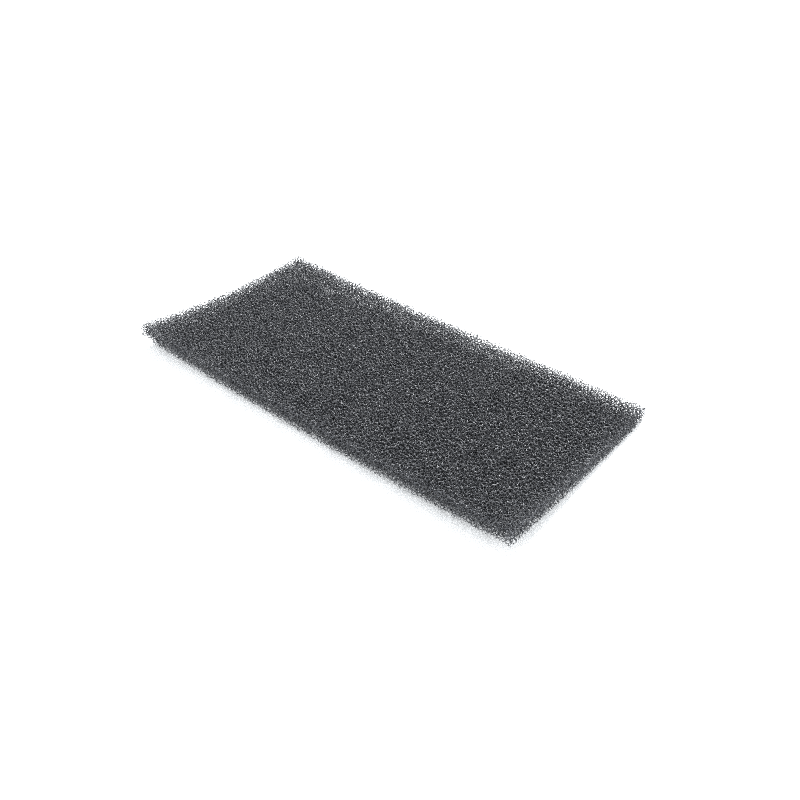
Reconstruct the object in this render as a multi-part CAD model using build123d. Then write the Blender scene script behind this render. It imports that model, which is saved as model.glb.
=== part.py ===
from build123d import *

import os

# Air filter pad: one flat, rectangular sheet cut from coarse open-cell (reticulated) foam.
# It lies in a tray of the machine's air path and has no frame, cover, seal or fastener
# of its own, so the whole object is this one soft piece.
#
# Units are millimetres. The origin is the middle of the underside.
# +X runs along the pad, +Y across it and +Z through its thickness.
# The solid is the pad as it is cut, lying flat, with its square-cut outer shape and no pores.

PAD_LENGTH = 240.0
PAD_WIDTH = 120.0
PAD_THICKNESS = 8.0


def foam_pad():
    """The sheet: a square-cut rectangle, thickened upwards from its underside."""
    outline = Rectangle(PAD_LENGTH, PAD_WIDTH)
    pad = extrude(outline, amount=PAD_THICKNESS)
    pad.label = "foam_pad"
    return pad


NODES = {"foam_pad": foam_pad()}

os.makedirs("parts", exist_ok=True)
for name, solid in NODES.items():
    export_step(solid, f"parts/{name}.step")
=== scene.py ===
"""The looks of the air filter pad: a thin sheet of coarse open-cell foam, strut by strut.

The foam is grown as a real one is. Bubbles crowd into the pad's space, and where four of them
meet there is a node, joined to its neighbours by thin three-sided struts. What lies outside the
pad is cut away, so the struts end in small cut faces all round it. Lengths are in metres.
"""

import math
from itertools import combinations

import bpy
import numpy as np
from mathutils import Matrix, Vector
from mathutils.kdtree import KDTree


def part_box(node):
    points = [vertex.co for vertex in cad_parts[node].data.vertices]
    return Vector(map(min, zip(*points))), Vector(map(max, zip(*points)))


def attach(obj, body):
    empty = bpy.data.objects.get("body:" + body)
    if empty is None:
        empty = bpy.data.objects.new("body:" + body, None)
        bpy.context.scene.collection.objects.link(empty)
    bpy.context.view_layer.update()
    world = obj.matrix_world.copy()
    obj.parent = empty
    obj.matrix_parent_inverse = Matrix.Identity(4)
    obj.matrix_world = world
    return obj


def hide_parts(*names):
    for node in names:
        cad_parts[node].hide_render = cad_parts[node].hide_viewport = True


MM = 0.001
CAD_NODE = "foam_pad"
BODY = "root"

# The foam's cells
CELL_SPACING = 1.8 * MM         # cube root of the space that one cell takes
SEED = 7
CROWDING_STEPS = 8
CROWDING_REACH = 1.15           # bubbles push each other apart within this many spacings
CROWDING_PUSH = 0.35
CROWDING_NEIGHBOURS = 14
MARGIN = 1.7                    # spacings of foam grown round the pad and cut away again
MEETING_NEIGHBOURS = 28         # how many bubbles round one are tried for meeting points
LARGEST_GAP = 1.05              # spacings from a meeting point to its four bubbles, at most
EVENING_STEPS = 2
EVENING = 0.5                   # of the way to the middle of a node's neighbours
BATCH = 2000                    # bubbles worked on at once
FLATTEST = 1e-6                 # of a cell's volume, below which four bubbles have no meeting point
ROUNDING = 1e-9                 # of a length, which the arithmetic may lose
NO_LENGTH = 1e-12

# Struts and nodes
NODE_SIZE = 0.142 * MM          # from a node's middle to its ridges
SIZE_SPREAD = 0.15
CUT_ROUGHNESS = 0.10 * MM       # how far inside the pad's faces a strut may end, at most
HALFWAY = 0.5                   # where a strut between two pieces is parted

# Pieces
TILES = (8, 3)                  # along the pad and across it

# The dye takes unevenly and some struts keep a shinier skin, so each node's foam has one of four tones
TONES = [
    {"name": "foam_inky", "colour": (0.024, 0.026, 0.031), "roughness": 0.55, "share": 0.28},
    {"name": "foam_charcoal", "colour": (0.052, 0.055, 0.061), "roughness": 0.44, "share": 0.34},
    {"name": "foam_slate", "colour": (0.074, 0.078, 0.086), "roughness": 0.38, "share": 0.24},
    {"name": "foam_ashen", "colour": (0.096, 0.100, 0.109), "roughness": 0.36, "share": 0.14},
]
FOAM_SPECULAR = 0.6

# The skin of a strut: drawn out in faint ripples, with finer grain on them
RIPPLE_SIZE = 0.25 * MM
RIPPLE_DETAIL = 2
GRAIN_SIZE = 0.04 * MM
GRAIN_DETAIL = 1
SKIN_DEPTH = 0.02 * MM
GRAIN_SHARE = 0.3               # of the depth, the rest being the ripples

# How the pad lies: nothing flattens it, so it is slightly bowed and its front left corner curls up
BOW_ALONG = 0.88 * MM
BOW_ACROSS = 1.71 * MM
TWIST = -2.47 * MM
CORNER_CURL = 5.30 * MM
CURL_START = 0.2                # of the way from the middle to the corner

# Camera
CAMERA_PLACE = (218.9 * MM, -251.3 * MM, 223.6 * MM)
CAMERA_HEADING = -39.08         # degrees from +Y towards +X
CAMERA_PITCH = 35.39            # degrees below the horizon
CAMERA_ROLL = 1.35
CAMERA_LENS_MM = 34.89
SENSOR_MM = 36.0
CAMERA_NEAR = 10 * MM

# Floor
FLOOR_LEVEL = -0.15 * MM        # just below the lowest strut ends
FLOOR_RADIUS = 0.8              # beyond it the white background goes on
FLOOR_SIDES = 64
FLOOR_COLOUR = (0.67, 0.68, 0.685, 1)
FLOOR_ROUGHNESS = 0.7
FLOOR_SPECULAR = 0.1

# Light: a broad lamp behind the pad, which throws its soft shadow forward, and two low fills, one for
# each of the side faces in view
PAD_MIDDLE = (0, 0, 0)
KEY_PLACE = (-0.32, 0.85, 0.68)
KEY_SIZE = 0.8
KEY_WATTS = 68
FRONT_FILL_PLACE = (-0.50, -0.60, 0.15)
FRONT_FILL_WATTS = 7
END_FILL_PLACE = (0.87, -0.35, 0.20)
END_FILL_WATTS = 15
FILL_SIZE = 0.5
SKY_COLOUR = (0.97, 0.985, 1.0, 1)
SKY_STRENGTH = 1.2
VIEW_GAMMA = 0.75               # below 1, so that the dark struts stand out from the gaps
PIXEL_FILTER = 1.1              # pixels wide, because a wider one blurs the struts into grey

# Each node joins four struts. Two of them share a ridge, which runs out into a film between bubbles.
STRUTS = range(4)
STRUT_PAIRS = list(combinations(STRUTS, 2))
OTHERS = [[other for other in STRUTS if other != strut] for strut in STRUTS]
STRUTS_PER_NODE = len(STRUTS)
RIDGES_PER_NODE = len(STRUT_PAIRS)
RIDGES_PER_STRUT = len(OTHERS[0])


def ridge(first, second):
    """Which of a node's six ridges lies between two of its struts."""
    return STRUT_PAIRS.index((min(first, second), max(first, second)))


RINGS = np.array([[ridge(strut, other) for other in OTHERS[strut]] for strut in STRUTS])
CELL_FACES = np.array([[ridge(a, b) for a, b in combinations(OTHERS[strut], 2)] for strut in STRUTS])


def unit(vectors):
    """The vectors at length one."""
    return vectors / np.maximum(np.linalg.norm(vectors, axis=-1, keepdims=True), NO_LENGTH)


def square(vectors):
    """Each vector's squared length."""
    return (vectors * vectors).sum(-1, keepdims=True)


# ---------------------------------------------------------------- the foam's network


def neighbours(points, count):
    """The nearest other points to each point, nearest first."""
    tree = KDTree(len(points))
    for index, point in enumerate(points):
        tree.insert(point, index)
    tree.balance()
    found = [[hit[1] for hit in tree.find_n(point, count + 1)] for point in points]
    return np.array(found)[:, 1:]


def crowded_bubbles(low, high, rng):
    """Bubble centres in a box, pushed apart until they are evenly packed."""
    count = int(np.prod(high - low) / CELL_SPACING**3)
    bubbles = rng.uniform(low, high, (count, 3))
    for _ in range(CROWDING_STEPS):
        near = neighbours(bubbles, CROWDING_NEIGHBOURS)
        apart = bubbles[:, None] - bubbles[near]
        distance = np.linalg.norm(apart, axis=2, keepdims=True)
        push = np.clip(CROWDING_REACH * CELL_SPACING - distance, 0, None)
        bubbles = bubbles + CROWDING_PUSH * (push * apart / np.maximum(distance, NO_LENGTH)).sum(1)
        bubbles = np.clip(bubbles, low, high)
    return bubbles


def meetings_of(own, around, bubbles):
    """The points where a bubble of own meets three of those around it, and the four bubbles there.

    Such a point is the middle of the sphere through all four, and no bubble is nearer to it. It is
    found only from the bubble that has the lowest number of the four.
    """
    reach = LARGEST_GAP * CELL_SPACING
    first, second, third = np.array(list(combinations(range(MEETING_NEIGHBOURS), 3))).T
    offset = bubbles[around] - bubbles[own][:, None]
    close = square(offset[:, :, None] - offset[:, None])[..., 0] < (2 * reach) ** 2
    later = around > own[:, None]
    close &= later[:, :, None] & later[:, None]
    possible = close[:, first, second] & close[:, first, third] & close[:, second, third]
    row, trio = np.nonzero(possible)
    a, b, c = (offset[row, side[trio]] for side in (first, second, third))
    volume = (a * np.cross(b, c)).sum(1)
    solid = np.abs(volume) > FLATTEST * CELL_SPACING**3
    row, trio, a, b, c, volume = (values[solid] for values in (row, trio, a, b, c, volume))
    centre = square(a) * np.cross(b, c) + square(b) * np.cross(c, a) + square(c) * np.cross(a, b)
    centre /= 2 * volume[:, None]
    radius = square(centre)[:, 0]
    empty = radius < reach**2
    for index in range(MEETING_NEIGHBOURS):
        empty &= square(offset[row, index] - centre)[:, 0] > radius * (1 - ROUNDING)
    row, trio, centre = row[empty], trio[empty], centre[empty]
    members = [own[row]] + [around[row, side[trio]] for side in (first, second, third)]
    return bubbles[own[row]] + centre, np.sort(np.stack(members, 1), 1)


def meeting_points(bubbles):
    """Where four bubbles meet with no other nearer: (the points, their four bubbles in order)."""
    near = neighbours(bubbles, MEETING_NEIGHBOURS)
    places, meetings = [], []
    for start in range(0, len(bubbles), BATCH):
        own = np.arange(start, min(start + BATCH, len(bubbles)))
        batch_places, batch_meetings = meetings_of(own, near[own], bubbles)
        places.append(batch_places)
        meetings.append(batch_meetings)
    return np.concatenate(places), np.concatenate(meetings)


def strut_partners(meetings):
    """For each node's four struts, the strut at the other end, as node * 4 + strut, or -1.

    Strut k of a node runs along the three bubbles other than its k-th, so the strut that it meets
    is the one with the same three bubbles.
    """
    count = int(meetings.max()) + 1
    trios = meetings[:, OTHERS].astype(np.int64)
    keys = ((trios[..., 0] * count + trios[..., 1]) * count + trios[..., 2]).ravel()
    order = np.argsort(keys, kind="stable")
    same = np.flatnonzero(keys[order][1:] == keys[order][:-1])
    one, other = order[same], order[same + 1]
    partners = np.full(len(keys), -1)
    partners[one] = other
    partners[other] = one
    mutual = (partners >= 0) & (partners[partners] == np.arange(len(keys)))
    return np.where(mutual, partners, -1).reshape(-1, STRUTS_PER_NODE)


def evened(places, partners):
    """The nodes drawn towards the middle of their neighbours, as a film's tension draws them."""
    whole = (partners >= 0).all(1)
    for _ in range(EVENING_STEPS):
        middle = places[partners // STRUTS_PER_NODE].mean(1)
        places = np.where(whole[:, None], places + EVENING * (middle - places), places)
    return places


# ---------------------------------------------------------------- cutting and meshing


def share_inside(start, run, low, high):
    """How much of each run from a start inside the box lies inside it, from 0 to 1."""
    with np.errstate(divide="ignore", invalid="ignore"):
        to_wall = np.where(run > 0, (high - start) / run, (low - start) / run)
    to_wall = np.where(np.abs(run) < NO_LENGTH, np.inf, to_wall)
    return np.clip(to_wall.min(-1), 0, 1)


def strut_facts(places, partners, low, high, rng):
    """What the mesh needs to know about each node's struts."""
    joined = partners >= 0
    far = np.where(joined, partners // STRUTS_PER_NODE, 0)
    run = np.where(joined[..., None], places[far] - places[:, None], 0.0)
    direction = unit(run)
    lost = -unit(direction.sum(1))[:, None]
    direction = np.where(joined[..., None], direction, lost)
    size = NODE_SIZE * rng.uniform(1 - SIZE_SPREAD, 1 + SIZE_SPREAD, (len(places), 1, 1))
    pairs = np.array(STRUT_PAIRS)
    ridges = size * unit(direction[:, pairs[:, 0]] + direction[:, pairs[:, 1]])
    rough = rng.uniform(0, CUT_ROUGHNESS, (len(places), STRUTS_PER_NODE, 1))
    kept = share_inside(places[:, None], run, low + rough, high - rough)
    tones = rng.choice(len(TONES), len(places), p=[tone["share"] for tone in TONES])
    return {"run": run, "direction": direction, "ridges": ridges, "kept": kept, "tones": tones}


def strut_links(members, inside, partners):
    """How the struts of a piece's nodes go on, as (whole, shared, partner's slot).

    A whole strut reaches a node inside the pad, and a shared one reaches a node of the same piece,
    where the strut that it meets has the partner's slot. Slots number the piece's struts.
    """
    own = np.full(len(partners), -1)
    own[members] = np.arange(len(members))
    partner = partners[members]
    far = partner // STRUTS_PER_NODE
    whole = (partner >= 0) & inside[far]
    shared = whole & (own[far] >= 0)
    partner_slot = np.where(shared, STRUTS_PER_NODE * own[far] + partner % STRUTS_PER_NODE, 0)
    return whole, shared, partner_slot


def end_rings(ends, spokes, direction, ended, first):
    """The rings in which struts end: (their points, and each strut's three, numbered from first)."""
    flat_spokes = spokes - (spokes * direction[:, :, None]).sum(3, keepdims=True) * direction[:, :, None]
    points = (ends[:, :, None] + flat_spokes)[ended].reshape(-1, 3)
    number = np.zeros(ended.shape, int)
    number[ended] = np.arange(ended.sum())
    return points, first + RIDGES_PER_STRUT * number[..., None] + np.arange(RIDGES_PER_STRUT)


def outward_cells(ridges, direction):
    """The four triangles that close a node between its struts, turned to face out of it."""
    cells = RIDGES_PER_NODE * np.arange(len(ridges))[:, None, None] + CELL_FACES
    corners = ridges[:, CELL_FACES]
    normal = np.cross(corners[:, :, 1] - corners[:, :, 0], corners[:, :, 2] - corners[:, :, 0])
    inwards = ((normal * direction).sum(2) > 0)[..., None]
    return np.where(inwards, cells[..., ::-1], cells)


def strut_sides(base, top):
    """The triangles of each strut's three sides, between its base ring and its top ring."""
    sides = []
    for corner in range(RIDGES_PER_STRUT):
        following = (corner + 1) % RIDGES_PER_STRUT
        sides.append(np.stack([base[..., corner], base[..., following], top[..., following]], 2))
        sides.append(np.stack([base[..., corner], top[..., following], top[..., corner]], 2))
    return sides


def foam_piece(name, members, inside, places, partners, facts):
    """One closed mesh of the nodes in members, with every strut that leaves them capped."""
    middle = places[members]
    run, direction, ridges = (facts[fact][members] for fact in ("run", "direction", "ridges"))
    whole, shared, partner_slot = strut_links(members, inside, partners)
    slots = np.arange(shared.size).reshape(shared.shape)
    spokes = ridges[:, RINGS]
    turn = (np.cross(spokes[:, :, 0], spokes[:, :, 1]) * direction).sum(2)
    backwards = (turn < 0)[..., None]

    # Both ends of a strut list their three points by the same three bubbles, so they join up.
    node_points = (middle[:, None] + ridges).reshape(-1, 3)
    base = RIDGES_PER_NODE * np.arange(len(members))[:, None, None] + RINGS
    opposite = base.reshape(-1, RIDGES_PER_STRUT)[partner_slot]

    # A strut that is cut, or that goes on in the next piece, ends in a ring of its own.
    kept = np.where(whole, HALFWAY, facts["kept"][members])
    ended = ~shared & (kept * np.linalg.norm(run, axis=2) > NODE_SIZE)
    ends = middle[:, None] + kept[..., None] * run
    end_points, end_ring = end_rings(ends, spokes, direction, ended, len(node_points))

    top = np.where(shared[..., None], opposite, end_ring)
    base, top = (np.where(backwards, ring[..., ::-1], ring) for ring in (base, top))
    tube = ended | (shared & (slots < partner_slot))
    every = np.ones_like(shared)
    surfaces = [(top, ended), (base, ~shared & ~ended), (outward_cells(ridges, direction), every)]
    surfaces += [(side, tube) for side in strut_sides(base, top)]
    strut_tones = np.repeat(facts["tones"][members], STRUTS_PER_NODE).reshape(shared.shape)
    faces = np.concatenate([triangles[used] for triangles, used in surfaces])
    tones = np.concatenate([strut_tones[used] for _, used in surfaces])
    return mesh_piece(name, np.concatenate([node_points, end_points]), faces, tones)


def mesh_piece(name, points, faces, tones):
    """A smooth-shaded mesh object from points and triangles, without points that no face uses."""
    used, renumbered = np.unique(faces, return_inverse=True)
    faces = renumbered.reshape(-1, 3)
    points = points[used]
    mesh = bpy.data.meshes.new(name)
    for tone in TONES:
        mesh.materials.append(bpy.data.materials[tone["name"]])
    mesh.vertices.add(len(points))
    mesh.vertices.foreach_set("co", lying(points).astype(np.float32).ravel())
    mesh.loops.add(3 * len(faces))
    mesh.loops.foreach_set("vertex_index", faces.astype(np.int32).ravel())
    mesh.polygons.add(len(faces))
    mesh.polygons.foreach_set("loop_start", np.arange(0, 3 * len(faces), 3, dtype=np.int32))
    mesh.polygons.foreach_set("loop_total", np.full(len(faces), 3, np.int32))
    mesh.polygons.foreach_set("material_index", tones.astype(np.int32))
    mesh.update(calc_edges=True)
    mesh.validate()
    mesh.shade_smooth()
    piece = bpy.data.objects.new(name, mesh)
    bpy.context.collection.objects.link(piece)
    return piece


def rise(x, y):
    """How far the bowed pad stands off the floor at a place on it, and its slopes along x and y."""
    half = PAD_SIZE[:2] / 2
    u, v = x / half[0], y / half[1]
    corner = np.clip(((-u - v) / 2 - CURL_START) / (1 - CURL_START), 0, None)
    height = BOW_ALONG * u**2 + BOW_ACROSS * v**2 + TWIST * u * v + CORNER_CURL * corner**2
    curl_slope = -CORNER_CURL * corner / (1 - CURL_START)
    slope_x = (2 * BOW_ALONG * u + TWIST * v + curl_slope) / half[0]
    slope_y = (2 * BOW_ACROSS * v + TWIST * u + curl_slope) / half[1]
    return height, slope_x, slope_y


def lying(points):
    """Points of the flat pad where they are once it lies bowed, with its thickness kept."""
    x, y, z = points.T
    height, slope_x, slope_y = rise(x, y)
    return np.stack([x - z * slope_x, y - z * slope_y, z + height], 1)


def grow_foam(low, high):
    """The pad's foam, as closed pieces side by side."""
    rng = np.random.default_rng(SEED)
    margin = MARGIN * CELL_SPACING
    bubbles = crowded_bubbles(low - margin, high + margin, rng)
    places, meetings = meeting_points(bubbles)
    partners = strut_partners(meetings)
    places = evened(places, partners)
    inside = ((places > low) & (places < high)).all(1)
    facts = strut_facts(places, partners, low, high, rng)
    share = (places[:, :2] - low[:2]) / (high - low)[:2]
    tile = np.clip((share * TILES).astype(int), 0, np.array(TILES) - 1)
    pieces = []
    for column in range(TILES[0]):
        for row in range(TILES[1]):
            members = np.flatnonzero(inside & (tile[:, 0] == column) & (tile[:, 1] == row))
            name = f"foam_{column + 1}_{row + 1}"
            pieces.append(foam_piece(name, members, inside, places, partners, facts))
    return pieces


# ---------------------------------------------------------------- materials


def new_material(name):
    """A new node material and its Principled shader."""
    material = bpy.data.materials.new(name)
    material.use_nodes = True
    return material, material.node_tree.nodes["Principled BSDF"]


def noise_height(nodes, links, place, size, detail):
    """A noise of a given grain size, from 0 to 1."""
    noise = nodes.new("ShaderNodeTexNoise")
    noise.inputs["Scale"].default_value = 1 / size
    noise.inputs["Detail"].default_value = detail
    links.new(place, noise.inputs["Vector"])
    return noise.outputs["Fac"]


def add_strut_skin(material):
    """The relief of a strut's skin, as bump."""
    nodes, links = material.node_tree.nodes, material.node_tree.links
    place = nodes.new("ShaderNodeTexCoord").outputs["Object"]
    ripples = noise_height(nodes, links, place, RIPPLE_SIZE, RIPPLE_DETAIL)
    grain = noise_height(nodes, links, place, GRAIN_SIZE, GRAIN_DETAIL)
    both = nodes.new("ShaderNodeMix")
    both.inputs["Factor"].default_value = GRAIN_SHARE
    links.new(ripples, both.inputs["A"])
    links.new(grain, both.inputs["B"])
    relief = nodes.new("ShaderNodeDisplacement")
    relief.inputs["Scale"].default_value = SKIN_DEPTH
    links.new(both.outputs["Result"], relief.inputs["Height"])
    links.new(relief.outputs["Displacement"], nodes["Material Output"].inputs["Displacement"])
    material.displacement_method = "BUMP"


def foam_material(tone):
    """Polyurethane of one tone, slightly shiny on the ridges of its struts."""
    material, shader = new_material(tone["name"])
    shader.inputs["Base Color"].default_value = (*tone["colour"], 1)
    shader.inputs["Roughness"].default_value = tone["roughness"]
    shader.inputs["Specular IOR Level"].default_value = FOAM_SPECULAR
    add_strut_skin(material)


def floor_material():
    """Matt white."""
    material, shader = new_material("floor")
    shader.inputs["Base Color"].default_value = FLOOR_COLOUR
    shader.inputs["Roughness"].default_value = FLOOR_ROUGHNESS
    shader.inputs["Specular IOR Level"].default_value = FLOOR_SPECULAR
    return material


# ---------------------------------------------------------------- the studio


def add_floor():
    """A round white table top."""
    mesh = bpy.data.meshes.new("floor")
    turns = [2 * math.pi * side / FLOOR_SIDES for side in range(FLOOR_SIDES)]
    rim = [(FLOOR_RADIUS * math.cos(turn), FLOOR_RADIUS * math.sin(turn), 0) for turn in turns]
    mesh.from_pydata(rim, [], [range(FLOOR_SIDES)])
    mesh.materials.append(floor_material())
    floor = bpy.data.objects.new("floor", mesh)
    floor.location.z = FLOOR_LEVEL
    bpy.context.collection.objects.link(floor)


def add_area_light(name, place, size, watts):
    """A round lamp that points at the pad."""
    light = bpy.data.lights.new(name, "AREA")
    light.shape = "DISK"
    light.size = size
    light.energy = watts
    lamp = bpy.data.objects.new(name, light)
    lamp.location = place
    aim = Vector(PAD_MIDDLE) - Vector(place)
    lamp.rotation_euler = aim.to_track_quat("-Z", "Y").to_euler()
    bpy.context.collection.objects.link(lamp)


def add_lights():
    """The lamps, and the white all round."""
    add_area_light("key", KEY_PLACE, KEY_SIZE, KEY_WATTS)
    add_area_light("front_fill", FRONT_FILL_PLACE, FILL_SIZE, FRONT_FILL_WATTS)
    add_area_light("end_fill", END_FILL_PLACE, FILL_SIZE, END_FILL_WATTS)
    world = bpy.data.worlds.new("world")
    world.use_nodes = True
    background = world.node_tree.nodes["Background"]
    background.inputs["Color"].default_value = SKY_COLOUR
    background.inputs["Strength"].default_value = SKY_STRENGTH
    bpy.context.scene.world = world


def set_picture():
    """How the picture is developed. The denoiser takes the foam's struts for noise, so it is off."""
    scene = bpy.context.scene
    scene.view_settings.view_transform = "Standard"
    scene.view_settings.gamma = VIEW_GAMMA
    scene.cycles.use_denoising = False
    scene.cycles.filter_width = PIXEL_FILTER


def add_camera():
    """The camera, from its place, heading, pitch and roll."""
    heading, pitch, roll = (math.radians(angle) for angle in (CAMERA_HEADING, CAMERA_PITCH, CAMERA_ROLL))
    ahead = Vector((
        math.sin(heading) * math.cos(pitch),
        math.cos(heading) * math.cos(pitch),
        -math.sin(pitch),
    ))
    level = Vector((math.cos(heading), -math.sin(heading), 0))
    upright = level.cross(ahead)
    right = level * math.cos(roll) + upright * math.sin(roll)
    up = upright * math.cos(roll) - level * math.sin(roll)
    camera = bpy.data.objects.new("camera", bpy.data.cameras.new("camera"))
    camera.data.sensor_width = SENSOR_MM
    camera.data.lens = CAMERA_LENS_MM
    camera.data.clip_start = CAMERA_NEAR
    turn = Matrix((right, up, -ahead)).transposed()
    camera.matrix_world = Matrix.Translation(CAMERA_PLACE) @ turn.to_4x4()
    bpy.context.collection.objects.link(camera)
    bpy.context.scene.camera = camera


# ---------------------------------------------------------------- the scene

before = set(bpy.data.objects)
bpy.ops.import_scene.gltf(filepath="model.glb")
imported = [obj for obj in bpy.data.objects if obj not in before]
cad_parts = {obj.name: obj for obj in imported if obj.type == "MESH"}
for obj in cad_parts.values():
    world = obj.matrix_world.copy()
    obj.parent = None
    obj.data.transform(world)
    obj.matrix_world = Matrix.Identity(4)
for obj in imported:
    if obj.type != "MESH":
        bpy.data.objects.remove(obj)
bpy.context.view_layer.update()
pad_low, pad_high = (np.array(corner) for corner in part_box(CAD_NODE))
PAD_SIZE = pad_high - pad_low

add_camera()
add_lights()
set_picture()
add_floor()

for foam_tone in TONES:
    foam_material(foam_tone)
for piece in grow_foam(pad_low, pad_high):
    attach(piece, BODY)
    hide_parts(CAD_NODE)

bpy.context.view_layer.update()
